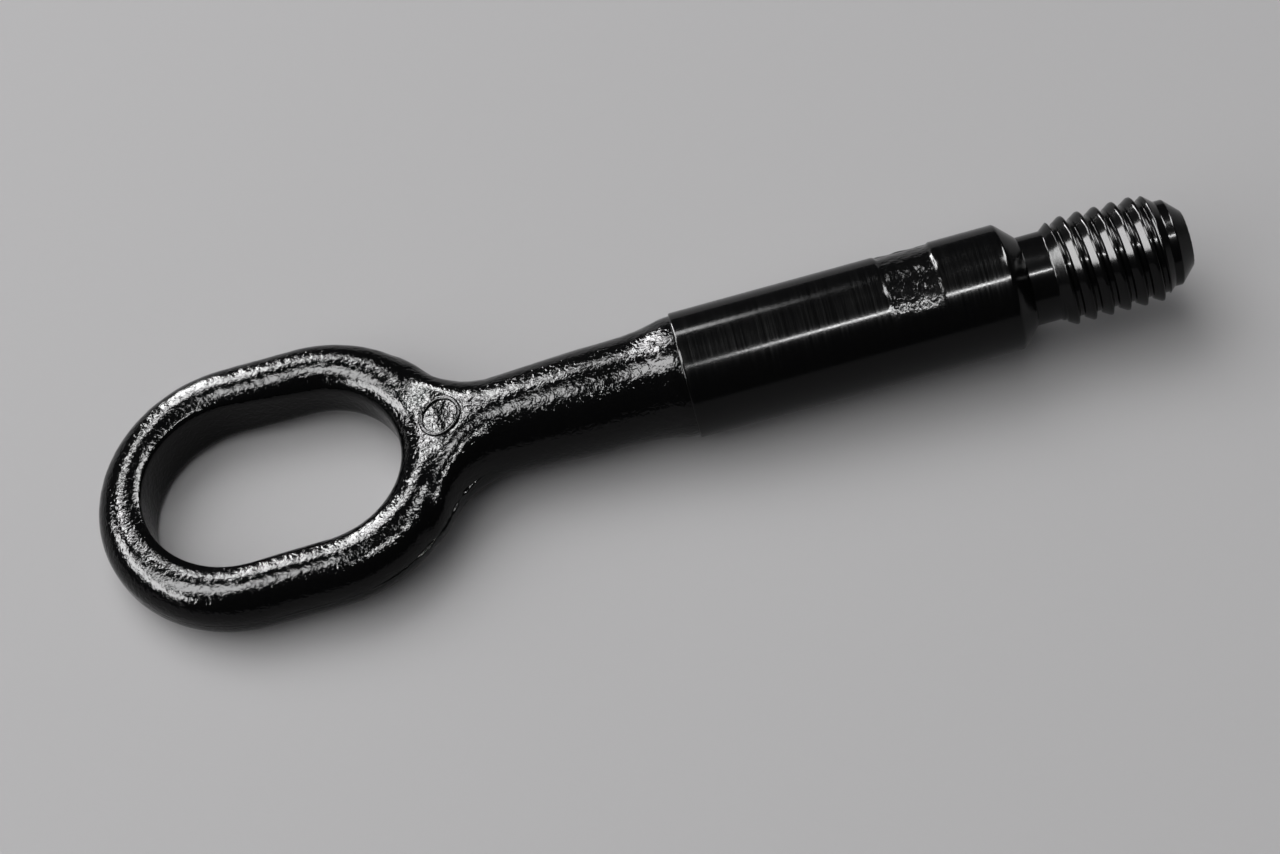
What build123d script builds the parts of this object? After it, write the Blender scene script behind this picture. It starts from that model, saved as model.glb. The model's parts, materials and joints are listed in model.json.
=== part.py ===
from build123d import *
import math
import os

# Sizes in millimetres
# The bar starts at X = 0 on the outer end of the eye, and the axis of the shank is the X axis.
# Z = 0 is the parting plane of the two forging dies, until the finished piece is laid down.

# Eye
eye_outer_radius = 25.7
eye_centres = 13.0
eye_bar_width = 11.2
eye_bar_height = 12.0
opening_side_wall = 9.3
opening_outer_wall = 8.6
opening_neck_wall = 10.5
opening_narrowing = 1.0

# Web and forged neck
flank_radius = 12.75
web_inset = 6.9
web_start_half_height = 5.8
neck_start_diameter = 16.9
neck_length = 28.2
neck_overlap = 1.0
neck_sink = 0.2
neck_end_diameter = 19.5
collar_rise_length = 3.8
collar_diameter = 21.0
collar_length = 1.1
mark_inset = 2.4
mark_offset = 0.5
mark_outer_diameter = 7.4
mark_inner_diameter = 5.9
mark_height = 0.3

# Turned shank
shank_diameter = 22.0
shank_length = 57.3
shank_edge_chamfer = 0.25
patch_setback = 11.5
patch_length = 9.6
patch_depth = 0.5
patch_near_angle = 42.0
patch_far_angle = 66.0

# Relief, thread and tip
relief_diameter = 15.6
relief_length = 4.2
thread_diameter = 18.7
thread_root_diameter = 16.2
thread_pitch = 3.0
thread_length = 20.0
thread_crest_width = 0.4
thread_eye_flank_angle = 57.0
thread_tip_flank_angle = 22.0
thread_start_taper = 2.0
thread_end_taper = 2.1
pilot_diameter = 15.0
pilot_length = 1.4
tip_diameter = 9.8

# Sizes worked out from those above
bar_half_width = eye_bar_width / 2
bar_half_height = eye_bar_height / 2
centreline_radius = eye_outer_radius - bar_half_width
outer_centre = eye_outer_radius
neck_centre = eye_outer_radius + eye_centres
eye_end = neck_centre + eye_outer_radius
opening_outer_radius = eye_outer_radius - opening_side_wall
opening_neck_radius = opening_outer_radius - opening_narrowing
opening_outer_centre = opening_outer_wall + opening_outer_radius
opening_neck_centre = eye_end - opening_neck_wall - opening_neck_radius
web_start = eye_end - web_inset
mark_position = eye_end - mark_inset
neck_start_radius = neck_start_diameter / 2
neck_end_radius = neck_end_diameter / 2
collar_radius = collar_diameter / 2
shank_radius = shank_diameter / 2

# The flanks of the web are arcs that meet the round of the eye and the side of the neck
flank_centre_y = neck_start_radius + flank_radius
flank_reach = eye_outer_radius + flank_radius
neck_start = neck_centre + math.sqrt(flank_reach**2 - flank_centre_y**2)
flank_meet_x = neck_centre + (neck_start - neck_centre) * eye_outer_radius / flank_reach

# Places along the axis from the neck on
neck_end = neck_start + neck_length
shank_start = neck_end + collar_rise_length + collar_length
shank_end = shank_start + shank_length
patch_start = shank_end - patch_setback - patch_length
relief_radius = relief_diameter / 2
relief_start = shank_end + shank_radius - relief_radius
thread_radius = thread_diameter / 2
thread_root_radius = thread_root_diameter / 2
thread_start = relief_start + relief_length
thread_end = thread_start + thread_length
pilot_radius = pilot_diameter / 2
pilot_end = thread_end + pilot_length
tip_radius = tip_diameter / 2
overall_length = pilot_end + pilot_radius - tip_radius

# The piece rests on the underside of the eye's outer end and on the near edge of the shank
rest_run = shank_start + shank_edge_chamfer - bar_half_width
rest_rise = shank_radius - bar_half_height
rest_tilt = math.degrees(math.atan2(rest_rise, rest_run))

# The ridge of the thread has a long flank that faces the eye and a steep one that faces the tip
# The groove stands a little proud of the crest, and less wide than one pitch
groove_turns = math.ceil(thread_length / thread_pitch) + 2
groove_clearance = 0.15
groove_depth = thread_radius - thread_root_radius
groove_half_width = (thread_pitch - thread_crest_width) / 2
long_flank_slope = math.tan(math.radians(thread_eye_flank_angle))
steep_flank_slope = math.tan(math.radians(thread_tip_flank_angle))
groove_root_start = steep_flank_slope * groove_depth - groove_half_width
groove_root_end = groove_half_width - long_flank_slope * groove_depth
groove_top_start = -groove_half_width - steep_flank_slope * groove_clearance
groove_top_end = groove_half_width + long_flank_slope * groove_clearance


def half_width(x):
    """Half the width of the eye's neck end and of the web in plan."""
    if x < flank_meet_x:
        return math.sqrt(eye_outer_radius**2 - (x - neck_centre) ** 2)
    return flank_centre_y - math.sqrt(flank_radius**2 - (neck_start - x) ** 2)


def web_points(width, height, squareness, count=24):
    """Points round one cross section of the web, between a circle and a rounded slab."""
    points = []
    for i in range(count):
        c = math.cos(2 * math.pi * i / count)
        s = math.sin(2 * math.pi * i / count)
        y = width * math.copysign(abs(c) ** (2 / squareness), c)
        z = height * math.copysign(abs(s) ** (2 / squareness), s)
        points.append((y, z))
    return points


# Cross sections of the web as shares of its run and of its rise to the neck, with their squareness
web_run = neck_start - web_start
web_rise = neck_start_radius - web_start_half_height
web_sections = []
for run, rise, squareness in ((0, 0, 2.5), (0.23, 0.44, 2.7), (0.45, 0.73, 2.6), (0.72, 0.92, 2.25)):
    x = web_start + run * web_run
    web_sections.append((x, half_width(x), web_start_half_height + rise * web_rise, squareness))
web_sections.append((neck_start + neck_overlap, neck_start_radius - neck_sink, neck_start_radius - neck_sink, 2.0))


def across(x, y=0):
    """Plane across the axis, with Y to its right and Z up."""
    return Plane(origin=(x, y, 0), x_dir=(0, 1, 0), z_dir=(1, 0, 0))


# Raised ring on the web, which follows its upper side
with BuildPart() as mark:
    for x, width, height, squareness in web_sections:
        with BuildSketch(across(x)):
            with BuildLine():
                Spline(*web_points(width, height + mark_height, squareness), periodic=True)
            make_face()
    loft()
    with BuildSketch(Plane.XY):
        with Locations((mark_position, mark_offset)):
            Circle(mark_outer_diameter / 2)
            Circle(mark_inner_diameter / 2, mode=Mode.SUBTRACT)
    extrude(amount=shank_diameter, mode=Mode.INTERSECT)

# Eye, web and neck as forged, with a straight edge along the parting plane of the eye
with BuildPart() as forging:
    with BuildSketch(across(outer_centre, centreline_radius)):
        SlotCenterToCenter(eye_bar_height - eye_bar_width, eye_bar_width, rotation=90)
    revolve(axis=Axis((outer_centre, 0, 0), (0, 0, 1)), revolution_arc=180)
    with BuildSketch(across(neck_centre, -centreline_radius)):
        SlotCenterToCenter(eye_bar_height - eye_bar_width, eye_bar_width, rotation=90)
    revolve(axis=Axis((neck_centre, 0, 0), (0, 0, 1)), revolution_arc=180)
    with BuildSketch(across(outer_centre, -centreline_radius), across(outer_centre, centreline_radius)):
        SlotCenterToCenter(eye_bar_height - eye_bar_width, eye_bar_width, rotation=90)
    extrude(amount=eye_centres)
    for x, width, height, squareness in web_sections:
        with BuildSketch(across(x)):
            with BuildLine():
                Spline(*web_points(width, height, squareness), periodic=True)
            make_face()
    loft()
    with BuildSketch(Plane.XZ):
        with BuildLine():
            Polyline(
                (neck_start, 0),
                (neck_start, neck_start_radius),
                (neck_end, neck_end_radius),
                (shank_start - collar_length, collar_radius),
                (shank_start + collar_length, collar_radius),
                (shank_start + collar_length, 0),
                close=True,
            )
        make_face()
    revolve(axis=Axis.X)
    with BuildSketch(Plane.XY):
        with Locations((opening_outer_centre, 0)):
            Circle(opening_outer_radius)
        with Locations((opening_neck_centre, 0)):
            Circle(opening_neck_radius)
        make_hull()
    extrude(amount=collar_diameter, both=True, mode=Mode.SUBTRACT)

# One turn of the groove of the thread, right handed
with BuildPart() as groove_turn:
    with BuildLine() as groove_path:
        Helix(pitch=thread_pitch, height=thread_pitch, radius=thread_radius, direction=(1, 0, 0))
    groove_begin = groove_path.line @ 0
    around = Vector(1, 0, 0).cross(Vector(0, groove_begin.Y, groove_begin.Z))
    with BuildSketch(Plane(origin=groove_begin, x_dir=(1, 0, 0), z_dir=around)):
        with BuildLine():
            Polyline(
                (groove_root_start, -groove_depth),
                (groove_root_end, -groove_depth),
                (groove_top_end, groove_clearance),
                (groove_top_start, groove_clearance),
                close=True,
            )
        make_face()
    sweep(path=groove_path.line, is_frenet=True)

# The whole forging with its turned end
with BuildPart() as blank:
    add(forging.part)
    add(mark.part)
    with BuildSketch(Plane.XZ):
        with BuildLine():
            Polyline(
                (shank_start, 0),
                (shank_start, shank_radius - shank_edge_chamfer),
                (shank_start + shank_edge_chamfer, shank_radius),
                (shank_end, shank_radius),
                (relief_start, relief_radius),
                (thread_start, relief_radius),
                (thread_start + thread_start_taper, thread_radius),
                (thread_end - thread_end_taper, thread_radius),
                (thread_end, pilot_radius),
                (pilot_end, pilot_radius),
                (overall_length, tip_radius),
                (overall_length, 0),
                close=True,
            )
        make_face()
    revolve(axis=Axis.X)
    with BuildSketch(Plane.XY.rotated((90 - patch_far_angle, 0, 0))):
        with BuildLine():
            Polyline(
                (patch_start + patch_depth, shank_radius - patch_depth),
                (patch_start + patch_length - patch_depth, shank_radius - patch_depth),
                (patch_start + patch_length + patch_depth, shank_radius + patch_depth),
                (patch_start - patch_depth, shank_radius + patch_depth),
                close=True,
            )
        make_face()
    revolve(axis=Axis.X, revolution_arc=patch_near_angle + patch_far_angle, mode=Mode.SUBTRACT)
    with Locations(*[(thread_start + (i - 1) * thread_pitch, 0, 0) for i in range(groove_turns)]):
        add(groove_turn.part, mode=Mode.SUBTRACT)

# Laid down on Z = 0, where it rests on the end of its eye and on the edge of the shank
with BuildPart() as tow_eye:
    with Locations(Location((0, 0, 0), (0, -rest_tilt, 0))):
        add(blank.part)
rest_box = tow_eye.part.bounding_box()
tow_eye.part.location = Location((-rest_box.center().X, -rest_box.center().Y, -rest_box.min.Z))

os.makedirs("parts", exist_ok=True)
tow_eye.part.label = "tow_eye"
export_step(tow_eye.part, "parts/tow_eye.step")
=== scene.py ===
"""Tow eye, dressed for its picture.

The forged ring and neck, the turned shank and the screw thread, all in gloss black paint.
"""

import json
import math

import bmesh
import bpy
import numpy as np
import openvdb
from mathutils import Matrix, Vector, noise


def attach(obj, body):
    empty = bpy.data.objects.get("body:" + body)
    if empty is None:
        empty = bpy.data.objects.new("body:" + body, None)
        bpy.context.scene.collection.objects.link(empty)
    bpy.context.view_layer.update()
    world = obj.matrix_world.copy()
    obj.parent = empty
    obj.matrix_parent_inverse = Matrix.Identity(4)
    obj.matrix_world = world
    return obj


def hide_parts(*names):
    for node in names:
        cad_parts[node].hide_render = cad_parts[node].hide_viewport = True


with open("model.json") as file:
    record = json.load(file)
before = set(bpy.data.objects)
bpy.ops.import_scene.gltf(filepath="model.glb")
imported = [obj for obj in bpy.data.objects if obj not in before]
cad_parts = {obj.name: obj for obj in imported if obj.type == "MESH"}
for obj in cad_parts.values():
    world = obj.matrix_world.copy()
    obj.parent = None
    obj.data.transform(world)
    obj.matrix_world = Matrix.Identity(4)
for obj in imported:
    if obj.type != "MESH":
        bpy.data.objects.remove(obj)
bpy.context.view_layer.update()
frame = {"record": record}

MM = 0.001

# Sizes in millimetres, with places along the axis of the shank from the outer end of the ring,
# as in the part's source
RING_OUTER = 25.7
RING_CENTRES = (25.7, 38.7)
BAR_HALF_WIDTH, BAR_HALF_HEIGHT = 5.6, 6.0
FLANK_RADIUS = 12.75
WEB_START = 57.5
NECK_START, NECK_END = 70.78, 98.98
NECK_START_RADIUS, NECK_END_RADIUS = 8.45, 9.75
COLLAR_START, COLLAR_RADIUS = 102.78, 10.5
SHANK_START, SHANK_END, SHANK_RADIUS = 103.88, 161.18, 11.0
RELIEF_RADIUS = 7.8
THREAD_START, THREAD_END = 168.58, 188.58
THREAD_RADIUS, ROOT_RADIUS, PITCH, CREST_WIDTH = 9.35, 8.1, 3.0, 0.4
LONG_FLANK_ANGLE, STEEP_FLANK_ANGLE = 57.0, 22.0
RUN_IN, RUN_OUT = 2.0, 2.1
PILOT_RADIUS, PILOT_END = 7.5, 189.98
TIP_RADIUS, TIP_END = 4.9, 192.58
PATCH_START, PATCH_END, PATCH_DEPTH = 140.1, 149.7, 0.3
PATCH_FAR_ANGLE, PATCH_NEAR_ANGLE = 66.0, 42.0

# Centre and radius of each end of the opening
OPENING = ((25.0, 16.4), (38.5, 15.4))

# The web swells from inside the ring to the neck and turns from a slab into a round
WEB_ROOT, WEB_ROOT_HALF_HEIGHT = 53.0, 4.6
WEB_STATIONS = (WEB_START, 60.55, 63.5, 67.1, NECK_START)
WEB_HALF_HEIGHTS = (5.75, 6.95, 7.7, 8.22, NECK_START_RADIUS)
WEB_SQUARENESS = (2.5, 2.7, 2.6, 2.25, 2.0)
NECK_STATIONS = (NECK_START, 84.9, NECK_END, COLLAR_START, 106.0)
NECK_RADII = (NECK_START_RADIUS, 9.1, NECK_END_RADIUS, COLLAR_RADIUS, COLLAR_RADIUS)

# The small flat on the web, which fades out on the neck
FACET_END, FACET_DEPTH, FACET_CLEARANCE = 73.0, 0.75, 0.3

# Rounding where the forms of the forging meet, and how far they reach into each other
RING_FILLET, WEB_START_FILLET, FACET_FILLET, OPENING_FILLET = 1.6, 1.5, 0.35, 0.55
HIDDEN_REACH = 0.6

# Raised circle, a little bolder than in the solid so that its edges catch the light
MARK_CENTRE = (62.0, 0.5)
MARK_OUTER_RADIUS, MARK_INNER_RADIUS, MARK_HEIGHT = 3.85, 3.05, 0.45
MARK_ROUND, MARK_SHOULDER, MARK_ROOT = 0.16, 0.03, -0.4

# Line that trimming left: where it stops, how proud its strokes stand and how far it sinks
# into the surface between them
SEAM_END = NECK_START - 4.0
SEAM_PROUD, SEAM_SUNK = 0.48, 0.02

# Fineness of the meshes
CELL = 0.37
MARK_AROUND, SHANK_AROUND = 128, 256
THREAD_AROUND, THREAD_STEPS, THREAD_TURNS = 180, 24, 14

# Where the axis lies in the frame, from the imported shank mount
shank_mount = {m["name"]: m for m in frame["record"]["mounts"]}["shank"]
axis = Vector(shank_mount["axis"]).normalized()
tilt = math.asin(axis.z)
axis_start = Vector(shank_mount["pos_m"]) - axis * ((SHANK_START + SHANK_END) / 2 * MM)
lay_down = Matrix(((axis.x, 0, -axis.z), (0, 1, 0), (axis.z, 0, axis.x)))


def laid(points):
    """Points of the straight axis in millimetres, moved to where the part lies, in metres."""
    p = np.asarray(points, float) * MM
    return p @ np.array(lay_down).T + np.array(axis_start)


def finished(name, mesh):
    """A smooth object at the origin with its place in its vertices and its faces outwards."""
    bm = bmesh.new()
    bm.from_mesh(mesh)
    bmesh.ops.recalc_face_normals(bm, faces=bm.faces)
    bm.to_mesh(mesh)
    bm.free()
    mesh.polygons.foreach_set("use_smooth", [True] * len(mesh.polygons))
    obj = bpy.data.objects.new(name, mesh)
    bpy.context.collection.objects.link(obj)
    return obj


def piece(name, points, faces, material):
    """A piece from points in millimetres along the straight axis."""
    mesh = bpy.data.meshes.new(name)
    mesh.from_pydata([tuple(v) for v in laid(points)], [], [tuple(f) for f in faces])
    mesh.materials.append(material)
    return finished(name, mesh)


def net(rows, columns, rows_close=False, columns_close=False):
    """Faces between points that lie row after row."""
    faces = []
    for i in range(rows if rows_close else rows - 1):
        here, beyond = i * columns, (i + 1) % rows * columns
        for j in range(columns if columns_close else columns - 1):
            after = (j + 1) % columns
            faces.append((here + j, beyond + j, beyond + after, here + after))
    return faces


# Shape of the forging


def eased(x, stations, values):
    """Smooth curve through values at stations, which stays level beyond them."""
    xs, ys = np.array(stations, float), np.array(values, float)
    slope = np.gradient(ys, xs)
    i = np.clip(np.searchsorted(xs, x) - 1, 0, len(xs) - 2)
    h = xs[i + 1] - xs[i]
    t = np.clip((x - xs[i]) / h, 0, 1)
    a, b = ys[i], ys[i + 1]
    return (
        a * (1 + 2 * t) * (1 - t) ** 2
        + slope[i] * h * t * (1 - t) ** 2
        + b * t * t * (3 - 2 * t)
        - slope[i + 1] * h * t * t * (1 - t)
    )


def blended_min(a, b, reach):
    """Joins two shapes with a fillet."""
    return np.minimum(a, b) - np.maximum(reach - np.abs(a - b), 0) ** 2 / (4 * reach)


def blended_max(a, b, reach):
    """Keeps what two shapes share, with a rounded edge."""
    return -blended_min(-a, -b, reach)


def stem_radius(x):
    """Radius of the neck and the collar."""
    return eased(x, NECK_STATIONS, NECK_RADII)


def stem_half_width(x):
    """Half the width of the ring's round, the web's flanks and the neck, one after another."""
    centre = RING_CENTRES[1]
    flank_y = NECK_START_RADIUS + FLANK_RADIUS
    meet = centre + (NECK_START - centre) * RING_OUTER / (RING_OUTER + FLANK_RADIUS)
    round_part = np.sqrt(np.maximum(RING_OUTER**2 - (x - centre) ** 2, 0))
    flank = flank_y - np.sqrt(np.maximum(FLANK_RADIUS**2 - (NECK_START - x) ** 2, 0))
    return np.where(x < meet, round_part, np.where(x < NECK_START, flank, stem_radius(x)))


def stem_half_height(x):
    """Half the height of the web and the neck."""
    stations = (WEB_ROOT, *WEB_STATIONS)
    web = eased(x, stations, (WEB_ROOT_HALF_HEIGHT, *WEB_HALF_HEIGHTS))
    return np.where(x < NECK_START, web, stem_radius(x))


def facet_depth(x):
    """How far the small flat of the web lies below its full round, or above it past its end."""
    share = np.clip((FACET_END - x) / (FACET_END - WEB_START), 0, 1.2)
    return FACET_DEPTH * share**1.5 - FACET_CLEARANCE * (share <= 0)


def opening_distance(x, y):
    """Distance in plan from the edge of the opening, negative inside it."""
    (xa, ra), (xb, rb) = OPENING
    run = xb - xa
    b = (ra - rb) / run
    a = math.sqrt(1 - b * b)
    px, py = np.abs(y), x - xa
    k = -b * px + a * py
    near = np.hypot(px, py) - ra
    far = np.hypot(px, py - run) - rb
    side = a * px + b * py - ra
    return np.where(k < 0, near, np.where(k > a * run, far, side))


def forging_distance(x, y, z):
    """About how far a point is from the surface of the forging, negative inside it."""
    along = x - np.clip(x, *RING_CENTRES)
    off = np.hypot(along, y) - (RING_OUTER - BAR_HALF_WIDTH)
    rise = np.maximum(np.abs(z) - (BAR_HALF_HEIGHT - BAR_HALF_WIDTH), 0)
    bar = np.hypot(off, rise) - BAR_HALF_WIDTH
    square = eased(x, WEB_STATIONS, WEB_SQUARENESS)
    width, height = np.maximum(stem_half_width(x), 0.5), stem_half_height(x)
    across, up = (np.abs(y) / width) ** square, (np.abs(z) / height) ** square
    share = (across + up + 1e-9) ** (1 / square)
    stem = np.hypot(y, z) * (1 - 1 / share)
    stem = blended_max(stem, np.abs(z) - height + facet_depth(x), FACET_FILLET)
    stem = blended_max(stem, WEB_START - HIDDEN_REACH - x, WEB_START_FILLET)
    whole = blended_min(bar, stem, RING_FILLET)
    whole = blended_max(whole, -opening_distance(x, y), OPENING_FILLET)
    return np.maximum(whole, x - SHANK_START - HIDDEN_REACH)


def onto_surface(p):
    """Moves points onto the surface of the forging and gives its outward directions there."""
    probe, longest_move, least_slope = 0.02, 0.3, 0.3
    for _ in range(3):
        f = forging_distance(*p.T)
        g = [forging_distance(*(p + d).T) - forging_distance(*(p - d).T) for d in np.eye(3) * probe]
        g = np.stack(g, 1) / (2 * probe)
        length = np.maximum(np.linalg.norm(g, axis=1), least_slope)
        p = p - g * (np.clip(f, -longest_move, longest_move) / length**2)[:, None]
    return p, g / length[:, None]


def grain(p, size, seed):
    """Soft noise between -1 and 1 for each point, with lumps of that size."""
    shift = Vector((seed * 7.3, seed * 3.1, seed * 5.7))
    return np.array([noise.noise(Vector(q) / size + shift) for q in p])


def forging_mesh():
    """The forging as a fine skin, with its dents."""
    band = 2.0
    x = np.arange(-1.2, SHANK_START + 1.6, CELL)
    y = np.arange(-27.0, 27.0, CELL)
    z = np.arange(-12.0, 12.0, CELL)
    field = forging_distance(*np.meshgrid(x, y, z, indexing="ij", sparse=True)).astype(np.float32)
    grid = openvdb.FloatGrid(band)
    grid.copyFromArray(np.clip(field, -band, band))
    points, quads = grid.convertToQuads(0.0)
    p = points.astype(float) * CELL + np.array([x[0], y[0], z[0]])
    p, out = onto_surface(p)
    coarse, fine = 0.035, 0.025
    dents = coarse * grain(p, size=2.5, seed=1) + fine * grain(p, size=1.2, seed=2)
    # The dents are weaker on the opening's wall and on upright sides, and fade out at the shank
    wall = np.clip((opening_distance(p[:, 0], p[:, 1]) - 0.15) / 0.5, 0, 1)
    side = np.clip(np.abs(out[:, 2]) * 1.6, 0.12, 1)
    end = np.clip((SHANK_START - p[:, 0]) / 2.0, 0, 1)
    # The web and the neck's end are the roughest, and the neck between them is the smoothest
    places, strengths = (50, 57, 68, 76, 94, 99), (1.0, 1.6, 1.6, 0.6, 0.6, 1.7)
    rough = np.interp(p[:, 0], places, strengths)
    lift = dents * (0.15 + 0.85 * wall) * side * end * rough
    return p + out * lift[:, None], quads


def mark_mesh():
    """The raised circle on the web."""
    outer, inner = MARK_OUTER_RADIUS, MARK_INNER_RADIUS
    # Radius, and level as a share of the height
    section = (
        (outer, MARK_ROOT),
        (outer - MARK_SHOULDER, 0.55),
        (outer - MARK_ROUND, 1.0),
        (inner + MARK_ROUND, 1.0),
        (inner + MARK_SHOULDER, 0.55),
        (inner, MARK_ROOT),
    )
    a = np.linspace(0, 2 * math.pi, MARK_AROUND, endpoint=False)
    rings = []
    for radius, level in section:
        px, py = MARK_CENTRE[0] + radius * np.cos(a), MARK_CENTRE[1] + radius * np.sin(a)
        # Halves the height between inside and outside until it is that of the web's surface
        low, high = np.full(MARK_AROUND, 3.0), np.full(MARK_AROUND, 10.0)
        for _ in range(24):
            mid = (low + high) / 2
            inside = forging_distance(px, py, mid) < 0
            low, high = np.where(inside, mid, low), np.where(inside, high, mid)
        rings.append(np.stack([px, py, mid + MARK_HEIGHT * level], 1))
    p = np.concatenate(rings)
    p[:, 2] += 0.03 * grain(p, size=1.1, seed=9)
    return p, net(len(section), MARK_AROUND, rows_close=True, columns_close=True)


def seam_mesh():
    """The thin line that trimming left round the outside of the ring and the web."""
    outer_centre, web_centre = RING_CENTRES
    step_along, bend_points, end_points = 0.35, 240, 12
    far = []
    for x in np.arange(SEAM_END, outer_centre, -step_along):
        far.append((x, float(stem_half_width(np.array(x))) if x > web_centre else RING_OUTER))
    near = [(x, -y) for x, y in reversed(far)]
    bend = []
    for a in np.linspace(0, math.pi, bend_points)[1:-1]:
        bend.append((outer_centre - RING_OUTER * math.sin(a), RING_OUTER * math.cos(a)))
    route = np.array(far + bend + near)
    p, out = onto_surface(np.column_stack([route, np.zeros(len(route))]))
    # Broken into strokes, and almost gone round the outer part of the ring
    fade_end, fade_length, least = 44, 10, 0.12
    strokes = 0.5 + 1.6 * grain(p, size=3.4, seed=21) + 0.7 * grain(p, size=0.9, seed=22)
    shown = np.clip(strokes, 0, 1) * np.clip((p[:, 0] - fade_end) / fade_length, least, 1)
    count = np.arange(len(p))
    ends = np.clip(np.minimum(count, count[::-1]) / end_points, 0, 1)
    proud = SEAM_PROUD * shown * ends - SEAM_SUNK
    # Steps outwards and upwards of a ridge with a sharp lower and a sloping upper side
    section = (
        (-0.35, -0.24),
        (proud * 0.8, -0.22),
        (proud, -0.12),
        (proud * 0.97, 0.02),
        (proud * 0.55, 0.1),
        (proud * 0.1, 0.18),
        (-0.4, 0.34),
    )
    rings = []
    for step, rise in section:
        rings.append(p + out * np.broadcast_to(step, len(p))[:, None] + np.array([0, 0, rise]))
    n, m = len(section), len(p)
    faces = net(n, m, rows_close=True)
    faces += [tuple(i * m for i in range(n)), tuple(i * m + m - 1 for i in range(n))]
    return np.concatenate(rings), faces


# Shape of the turned shank


def shank_stations():
    """Places along the shank with their radii, close together at its edges and its patch."""
    first_edge = ((0.0, 10.75), (0.04, 10.84), (0.13, 10.93), (0.25, 11.0), (0.5, 11.0))
    cone_edge = ((-0.3, 11.0), (-0.1, 10.97), (0.12, 10.84))
    straight = (
        *np.arange(SHANK_START + 1.5, PATCH_START - 1.0, 1.0),
        *np.arange(PATCH_START - 0.8, PATCH_END + 0.8, 0.2),
        *np.arange(PATCH_END + 1.2, SHANK_END - 0.4, 1.0),
    )
    fall = SHANK_RADIUS - RELIEF_RADIUS
    stations = [(SHANK_START + step, radius) for step, radius in first_edge]
    stations += [(x, SHANK_RADIUS) for x in straight]
    stations += [(SHANK_END + step, radius) for step, radius in cone_edge]
    stations += [(SHANK_END + fall * t, SHANK_RADIUS - fall * t) for t in (0.12, 0.4, 0.7, 0.95)]
    stations += [(SHANK_END + fall + 0.05, RELIEF_RADIUS - 0.05)]
    return np.array(stations)


def shank_mesh():
    """The turned shank with its cone and its patch, and the patch's share of each point."""
    stations = shank_stations()
    a = np.linspace(0, 2 * math.pi, SHANK_AROUND, endpoint=False)
    x, t = np.meshgrid(stations[:, 0], a, indexing="ij")
    r = np.repeat(stations[:, 1:], SHANK_AROUND, 1)
    # The noise is read on a plain cylinder
    noise_radius = 10
    p = np.stack([x, noise_radius * np.sin(t), noise_radius * np.cos(t)], -1).reshape(-1, 3)
    waver = grain(p, size=2.2, seed=11).reshape(x.shape)
    ripple = grain(p, size=0.8, seed=12).reshape(x.shape)
    # Angle from the top, towards the far side
    turn = np.degrees(np.arctan2(np.sin(t), np.cos(t)))
    # Wavering edges of the patch: steep at its ends, and softer at its sides
    left = np.clip(x - PATCH_START - 0.2 * waver + 0.25, 0, 1)
    right = np.clip((PATCH_END + 0.2 * waver - x + 0.15) / 0.7, 0, 1)
    top = np.clip((PATCH_FAR_ANGLE - turn + 4 * waver) / 6, 0, 1)
    low = np.clip((PATCH_NEAR_ANGLE + turn + 8 * waver) / 12, 0, 1)
    hollow = left * right * np.minimum(top, low)
    hollow = hollow * hollow * (3 - 2 * hollow)
    # The hollow deepens towards the far side and has a ragged floor
    depth = PATCH_DEPTH * np.clip(0.7 + turn / 60, 0.45, 1.4)
    r -= hollow * (depth - 0.05 * waver - 0.03 * ripple)
    p = np.stack([x, r * np.sin(t), r * np.cos(t)], -1).reshape(-1, 3)
    first, last = len(p), len(p) + 1
    p = np.concatenate([p, [[stations[0, 0], 0, 0], [stations[-1, 0], 0, 0]]])
    # The two ends close on the axis
    faces = net(len(stations), SHANK_AROUND, columns_close=True)
    last_row = first - SHANK_AROUND
    for j in range(SHANK_AROUND):
        after = (j + 1) % SHANK_AROUND
        faces += [(first, after, j), (last, last_row + j, last_row + after)]
    return p, faces, np.append(hollow.ravel(), [0.0, 0.0])


# Geometry nodes of the screw thread


class Tree:
    """Short calls for building a node tree."""

    def __init__(self, tree):
        self.tree = tree

    def node(self, kind, values=(), **settings):
        n = self.tree.nodes.new(kind)
        for key, value in settings.items():
            setattr(n, key, value)
        for key, value in dict(values).items():
            if hasattr(value, "is_output"):
                self.tree.links.new(value, n.inputs[key])
            else:
                n.inputs[key].default_value = value
        return n

    def math(self, operation, a, b=0.0, c=0.0):
        return self.node("ShaderNodeMath", {0: a, 1: b, 2: c}, operation=operation).outputs[0]

    def remap(self, value, from_min, from_max, to_min, to_max):
        values = {
            "Value": value,
            "From Min": from_min,
            "From Max": from_max,
            "To Min": to_min,
            "To Max": to_max,
        }
        return self.node("ShaderNodeMapRange", values, clamp=True).outputs[0]

    def floats_in(self, defaults):
        for name, value in defaults.items():
            socket = self.tree.interface.new_socket(
                name, in_out="INPUT", socket_type="NodeSocketFloat"
            )
            socket.default_value = value


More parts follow.
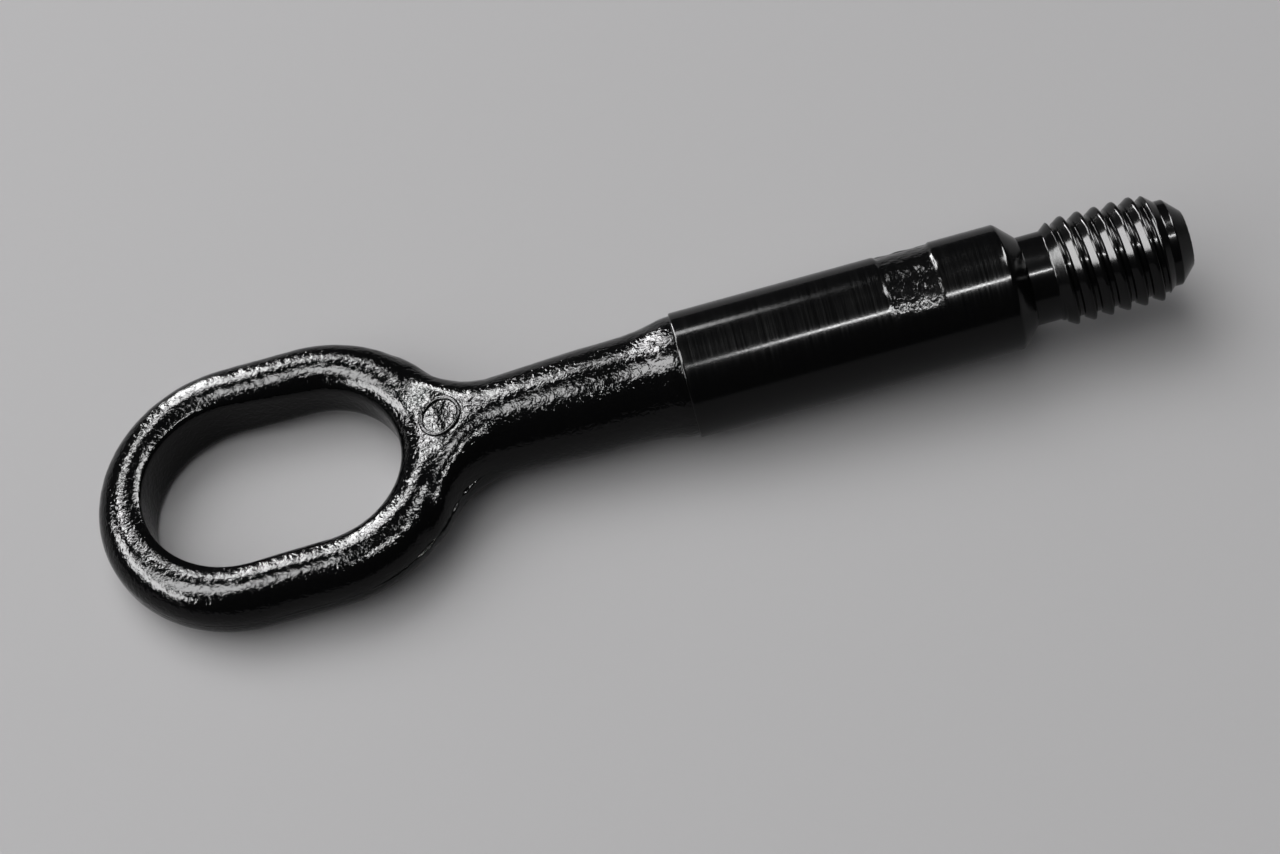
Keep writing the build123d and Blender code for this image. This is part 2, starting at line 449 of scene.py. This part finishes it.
def thread_tree(material):
    """Winds a grid round the axis, so that its rows follow the crests of the thread."""
    tree = bpy.data.node_groups.new("screw thread", "GeometryNodeTree")
    tree.interface.new_socket("Geometry", in_out="INPUT", socket_type="NodeSocketGeometry")
    t = Tree(tree)
    t.floats_in(
        {
            "Start": SHANK_END + 2.75,
            "Thread start": THREAD_START,
            "Thread end": THREAD_END,
            "Pilot end": PILOT_END,
            "End": TIP_END,
            "Pitch": PITCH,
            "Crest radius": THREAD_RADIUS,
            "Root radius": ROOT_RADIUS,
            "Relief radius": RELIEF_RADIUS,
            "Pilot radius": PILOT_RADIUS,
            "Tip radius": TIP_RADIUS,
            "Crest width": CREST_WIDTH,
            "Long flank slope": math.tan(math.radians(LONG_FLANK_ANGLE)),
            "Steep flank slope": math.tan(math.radians(STEEP_FLANK_ANGLE)),
            "Run in": RUN_IN,
            "Run out": RUN_OUT,
        }
    )
    tree.interface.new_socket("Geometry", in_out="OUTPUT", socket_type="NodeSocketGeometry")
    given = t.node("NodeGroupInput").outputs
    turns_before, groove_round, run_round = 4.0, 0.22, 0.08

    # A grid of one unit, with its rows and its columns counted
    rows = THREAD_STEPS * THREAD_TURNS + 1
    counts = {"Size X": 1.0, "Size Y": 1.0, "Vertices X": rows, "Vertices Y": THREAD_AROUND + 1}
    grid = t.node("GeometryNodeMeshGrid", counts).outputs[0]
    position = t.node("GeometryNodeInputPosition").outputs[0]
    place = t.node("ShaderNodeSeparateXYZ", {0: position}).outputs
    row = t.math("ROUND", t.math("MULTIPLY", t.math("ADD", place[0], 0.5), rows - 1))
    column = t.math("MULTIPLY", t.math("ADD", place[1], 0.5), THREAD_AROUND)
    turn = t.math("DIVIDE", t.math("ROUND", column), THREAD_AROUND)
    groove = t.math("DIVIDE", row, THREAD_STEPS)
    lead = t.math("MULTIPLY", given["Pitch"], turns_before)
    first = t.math("SUBTRACT", given["Thread start"], lead)
    x = t.math("MULTIPLY_ADD", t.math("ADD", groove, turn), given["Pitch"], first)

    # Place from the middle of the nearest crest, then the heights of the two flanks there
    half_crest = t.math("MULTIPLY", given["Crest width"], 0.5)
    share = t.math("SUBTRACT", t.math("FRACT", groove), 0.5)
    off = t.math("MULTIPLY", share, given["Pitch"])
    long_run = t.math("SUBTRACT", t.math("MULTIPLY", off, -1.0), half_crest)
    long_fall = t.math("DIVIDE", long_run, given["Long flank slope"])
    steep_run = t.math("SUBTRACT", off, half_crest)
    steep_fall = t.math("DIVIDE", steep_run, given["Steep flank slope"])
    fall = t.math("MAXIMUM", long_fall, steep_fall)
    ridge = t.math("SUBTRACT", given["Crest radius"], fall)
    ridge = t.math("SMOOTH_MIN", ridge, given["Crest radius"], groove_round)
    ridge = t.math("SMOOTH_MAX", ridge, given["Root radius"], groove_round)

    # The thread runs in from the relief and out to the pilot, and the tip narrows
    in_end = t.math("ADD", given["Thread start"], given["Run in"])
    out_start = t.math("SUBTRACT", given["Thread end"], given["Run out"])
    crest, pilot = given["Crest radius"], given["Pilot radius"]
    run_in = t.remap(x, given["Thread start"], in_end, given["Relief radius"], crest)
    run_out = t.remap(x, out_start, given["Thread end"], crest, pilot)
    tip = t.remap(x, given["Pilot end"], given["End"], pilot, given["Tip radius"])
    narrowed = t.math("ADD", run_out, t.math("SUBTRACT", tip, pilot))
    hull = t.math("MINIMUM", run_in, narrowed)
    radius = t.math("SMOOTH_MIN", ridge, hull, run_round)

    # Rows beyond either end close on the axis
    before = t.math("DIVIDE", t.math("SUBTRACT", given["Start"], x), given["Pitch"])
    after = t.math("DIVIDE", t.math("SUBTRACT", x, given["End"]), given["Pitch"])
    beyond = t.math("MAXIMUM", t.math("MAXIMUM", before, after), 0.0)
    left_over = t.math("SUBTRACT", 1.0, t.math("MINIMUM", beyond, 1.0))
    radius = t.math("MULTIPLY", radius, left_over)
    along = t.math("MINIMUM", t.math("MAXIMUM", x, given["Start"]), given["End"])
    angle = t.math("MULTIPLY", turn, 2 * math.pi)
    side = t.math("MULTIPLY", t.math("MULTIPLY", radius, t.math("SINE", angle)), -1.0)
    up = t.math("MULTIPLY", radius, t.math("COSINE", angle))
    wound = t.node("ShaderNodeCombineXYZ", {"X": along, "Y": side, "Z": up}).outputs[0]

    geometry = t.node("GeometryNodeSetPosition", {"Geometry": grid, "Position": wound}).outputs[0]
    seam = {"Geometry": geometry, "Distance": 0.004}
    geometry = t.node("GeometryNodeMergeByDistance", seam).outputs[0]
    geometry = t.node("GeometryNodeRealizeInstances", {"Geometry": geometry}).outputs[0]
    paint = {"Geometry": geometry, "Material": material}
    geometry = t.node("GeometryNodeSetMaterial", paint).outputs[0]
    t.node("NodeGroupOutput", {"Geometry": geometry})
    return tree


def from_nodes(name, tree):
    """The plain mesh that a node tree makes."""
    holder = bpy.data.objects.new(name + " maker", bpy.data.meshes.new(name + " maker"))
    bpy.context.collection.objects.link(holder)
    holder.modifiers.new("shape", "NODES").node_group = tree
    bpy.context.view_layer.update()
    made = holder.evaluated_get(bpy.context.evaluated_depsgraph_get())
    mesh = bpy.data.meshes.new_from_object(made)
    mesh.name = name
    holder.modifiers.clear()
    bpy.data.objects.remove(holder)
    return mesh


def screw_thread(material):
    """The relief, the thread and the tip, laid down like the other pieces."""
    mesh = from_nodes("screw thread", thread_tree(material))
    p = np.empty(len(mesh.vertices) * 3)
    mesh.vertices.foreach_get("co", p)
    mesh.vertices.foreach_set("co", laid(p.reshape(-1, 3)).ravel())
    return finished("screw_thread", mesh)


# Paint

DARK_TONE, LIGHT_TONE = (0.0012, 0.0012, 0.0013, 1), (0.0025, 0.0025, 0.0027, 1)
PAINT_IOR = 1.24

# Noise cells for each metre
CLOUD_SCALE, SPECK_SCALE, LINE_SCALE = 260.0, 900.0, 2600.0

# Turning lines run round the shank, so their noise is stretched across its axis
LINE_STRETCH, LINE_ROUGHNESS = 0.012, 0.3

# Settings of the skin where the steel was left as forged, in the patch of the shank
UNTURNED_SKIN = {"Lump size": 0.0011, "Lump depth": 10.0, "Fine depth": 1.2, "Roughness": 0.14}


def paint_skin():
    """Lumps and clouds that lie in every painted surface."""
    tree = bpy.data.node_groups.new("paint skin", "ShaderNodeTree")
    t = Tree(tree)
    t.floats_in(
        {
            "Lump size": 0.0008,
            "Lump depth": 1.0,
            "Fine depth": 0.4,
            "Roughness": 0.15,
            "Dust": 0.1,
        }
    )
    tree.interface.new_socket("Height", in_out="OUTPUT", socket_type="NodeSocketFloat")
    tree.interface.new_socket("Roughness", in_out="OUTPUT", socket_type="NodeSocketFloat")
    given = t.node("NodeGroupInput").outputs
    where = t.node("ShaderNodeTexCoord").outputs["Object"]

    def speckle(scale, **settings):
        values = {"Vector": where, "Scale": scale, **settings}
        return t.node("ShaderNodeTexNoise", values).outputs[0]

    scale = t.math("DIVIDE", 1.0, given["Lump size"])
    lumps = speckle(scale, Detail=2.0, Roughness=0.5, Distortion=0.8)
    fine = speckle(t.math("MULTIPLY", scale, 3.1), Detail=2.0, Roughness=0.6)
    lump_height = t.math("MULTIPLY", lumps, given["Lump depth"])
    height = t.math("ADD", lump_height, t.math("MULTIPLY", fine, given["Fine depth"]))
    cloud = t.math("SUBTRACT", speckle(CLOUD_SCALE, Detail=4.0), 0.5)
    rough = t.math("MULTIPLY_ADD", cloud, given["Dust"], given["Roughness"])
    t.node("NodeGroupOutput", {"Height": height, "Roughness": rough})
    return tree


def skin_effect(t, skin, settings):
    """Height and roughness of the skin with its own settings."""
    effect = t.node("ShaderNodeGroup", node_tree=skin)
    for key, value in settings.items():
        effect.inputs[key].default_value = value
    return effect.outputs["Height"], effect.outputs["Roughness"]


def black_paint(name, skin, settings, bump, lines=0.0):
    """Gloss paint, with turning lines and an unturned patch where the steel was turned."""
    material = bpy.data.materials.new(name)
    material.use_nodes = True
    material.node_tree.nodes.clear()
    t = Tree(material.node_tree)
    where = t.node("ShaderNodeTexCoord").outputs["Object"]
    height, rough = skin_effect(t, skin, settings)
    if lines:
        stretch = {
            "Vector": where,
            "Rotation": (0.0, tilt, 0.0),
            "Scale": (1.0, LINE_STRETCH, LINE_STRETCH),
        }
        straight = t.node("ShaderNodeMapping", stretch).outputs[0]
        cut = {"Vector": straight, "Scale": LINE_SCALE, "Detail": 3.0, "Roughness": 0.7}
        cuts = t.node("ShaderNodeTexNoise", cut).outputs[0]
        height = t.math("MULTIPLY_ADD", cuts, lines, height)
        rough = t.math("MULTIPLY_ADD", t.math("SUBTRACT", cuts, 0.5), LINE_ROUGHNESS, rough)
        forged_height, forged_rough = skin_effect(t, skin, UNTURNED_SKIN)
        unturned = t.node("ShaderNodeAttribute", attribute_name="unturned").outputs["Fac"]
        heights = {0: unturned, 2: height, 3: forged_height}
        height = t.node("ShaderNodeMix", heights, data_type="FLOAT").outputs[0]
        roughs = {0: unturned, 2: rough, 3: forged_rough}
        rough = t.node("ShaderNodeMix", roughs, data_type="FLOAT").outputs[0]
    relief = {"Strength": 1.0, "Distance": bump, "Height": height}
    normal = t.node("ShaderNodeBump", relief).outputs[0]
    specks = {"Vector": where, "Scale": SPECK_SCALE, "Detail": 2.0}
    speck = t.node("ShaderNodeTexNoise", specks).outputs[0]
    tones = {0: speck, 6: DARK_TONE, 7: LIGHT_TONE}
    tone = t.node("ShaderNodeMix", tones, data_type="RGBA").outputs[2]
    coat = {"Base Color": tone, "Roughness": rough, "Normal": normal}
    shader = t.node("ShaderNodeBsdfPrincipled", coat)
    shader.inputs["IOR"].default_value = PAINT_IOR
    t.node("ShaderNodeOutputMaterial", {"Surface": shader.outputs[0]})
    return material


def skin_settings(lump_size, lump_depth, fine_depth, roughness, dust):
    """Settings of the skin, with the size of its lumps in metres."""
    return {
        "Lump size": lump_size,
        "Lump depth": lump_depth,
        "Fine depth": fine_depth,
        "Roughness": roughness,
        "Dust": dust,
    }


skin = paint_skin()
forged_skin = skin_settings(
    lump_size=0.0010, lump_depth=1.0, fine_depth=0.15, roughness=0.09, dust=0.04
)
turned_skin = skin_settings(
    lump_size=0.0022, lump_depth=0.5, fine_depth=0.05, roughness=0.14, dust=0.04
)
thread_skin = skin_settings(
    lump_size=0.0022, lump_depth=0.8, fine_depth=0.06, roughness=0.15, dust=0.05
)
forged_paint = black_paint("black paint on forging", skin, forged_skin, bump=0.00010)
turned_paint = black_paint(
    "black paint on turned steel", skin, turned_skin, bump=0.00001, lines=0.4
)
thread_paint = black_paint("black paint on thread", skin, thread_skin, bump=0.00002)

forging = piece("forged_eye_and_neck", *forging_mesh(), forged_paint)
mark = piece("raised_circle", *mark_mesh(), forged_paint)
seam = piece("trimmed_line", *seam_mesh(), forged_paint)
shank_points, shank_faces, unturned_share = shank_mesh()
shank = piece("turned_shank", shank_points, shank_faces, turned_paint)
unturned_mask = shank.data.attributes.new("unturned", "FLOAT", "POINT")
unturned_mask.data.foreach_set("value", unturned_share)
thread = screw_thread(thread_paint)

for part in (forging, mark, seam, shank, thread):
    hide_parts("tow_eye")
    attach(part, "root")

# Floor without gloss, so that the lamps made for the paint's gloss leave no mark on it
floor_paint = bpy.data.materials.new("pale grey sheet")
floor_paint.use_nodes = True
sheet = floor_paint.node_tree.nodes["Principled BSDF"].inputs
sheet["Base Color"].default_value = (0.52, 0.514, 0.52, 1)
sheet["Roughness"].default_value = 0.6
sheet["Specular IOR Level"].default_value = 0.0
bpy.ops.mesh.primitive_plane_add(size=6.0, location=(0, 0, 0))
floor = bpy.context.object
floor.name = "floor"
floor.data.materials.append(floor_paint)

# Lamps: name, direction from the part, distance, width and height in metres, power in watts,
# and for one of them its turn in degrees. The gloss lamps are seen only in the paint's gloss,
# and the soft lamps light everything else.
GLOSS_LAMPS = (
    ("near strip", (0.24, -0.33, 0.95), 1.25, (0.64, 0.05), 14.5, -25.0),
    ("far strip", (-0.08, 0.73, 0.68), 1.45, (0.2, 0.19), 3.4),
    ("overhead box", (-0.54, 0.02, 1.0), 1.25, (0.46, 0.8), 41.0),
    ("far box", (-0.32, 0.86, 0.51), 1.2, (0.18, 0.95), 29.0),
    ("web box", (-0.47, 0.57, 0.72), 1.3, (0.22, 0.2), 10.5),
    ("left box", (-0.82, 0.02, 0.5), 1.3, (1.3, 0.36), 66.0),
    ("right box", (0.6, 0.42, 0.8), 1.3, (0.4, 1.15), 66.0),
)
SOFT_LAMPS = (
    ("key", (-0.35, 0.6, 1.0), 1.4, (1.1, 0.9), 4.6),
    ("fill", (-0.6, 0.1, 1.0), 1.5, (2.8, 2.8), 34.5),
)
lit_point = Vector((0.0, 0.0, 0.012))


def lamp(name, direction, distance, size, power, turn=0.0):
    """A flat soft lamp that faces the part."""
    data = bpy.data.lights.new(name, "AREA")
    data.shape = "RECTANGLE"
    data.size, data.size_y = size
    data.energy = power
    obj = bpy.data.objects.new(name, data)
    way = Vector(direction).normalized()
    obj.location = lit_point + way * distance
    aim = way.to_track_quat("Z", "Y").to_matrix() @ Matrix.Rotation(math.radians(turn), 3, "Z")
    obj.rotation_euler = aim.to_euler()
    bpy.context.collection.objects.link(obj)
    return obj


for row in GLOSS_LAMPS:
    lamp(*row).visible_diffuse = False
for row in SOFT_LAMPS:
    lamp(*row).visible_glossy = False

world = bpy.data.worlds.new("studio")
world.use_nodes = True
background = world.node_tree.nodes["Background"].inputs
background["Color"].default_value = (0.95, 0.97, 1.0, 1)
background["Strength"].default_value = 0.06
bpy.context.scene.world = world

# Camera fitted to the photograph, with its place in millimetres along the straight axis
SENSOR_WIDTH, PHOTO_WIDTH, FOCAL_LENGTH_PIXELS = 36.0, 1280, 3052.1
camera_data = bpy.data.cameras.new("camera")
camera_data.sensor_width = SENSOR_WIDTH
camera_data.lens = FOCAL_LENGTH_PIXELS / PHOTO_WIDTH * SENSOR_WIDTH
camera_data.clip_end = 20.0
forward = lay_down @ Vector((-0.0243034, 0.5586645, -0.8290376))
right = lay_down @ Vector((0.9642129, -0.2059068, -0.1670207))
up = lay_down @ Vector((0.2640130, 0.8034279, 0.5336673))
place = Vector(laid((106.950, -297.584, 429.956)))
turned = Matrix((right, up, -forward)).transposed().to_4x4()
camera = bpy.data.objects.new("camera", camera_data)
camera.matrix_world = Matrix.Translation(place) @ turned
bpy.context.collection.objects.link(camera)
bpy.context.scene.camera = camera
bpy.context.scene.view_settings.view_transform = "Standard"
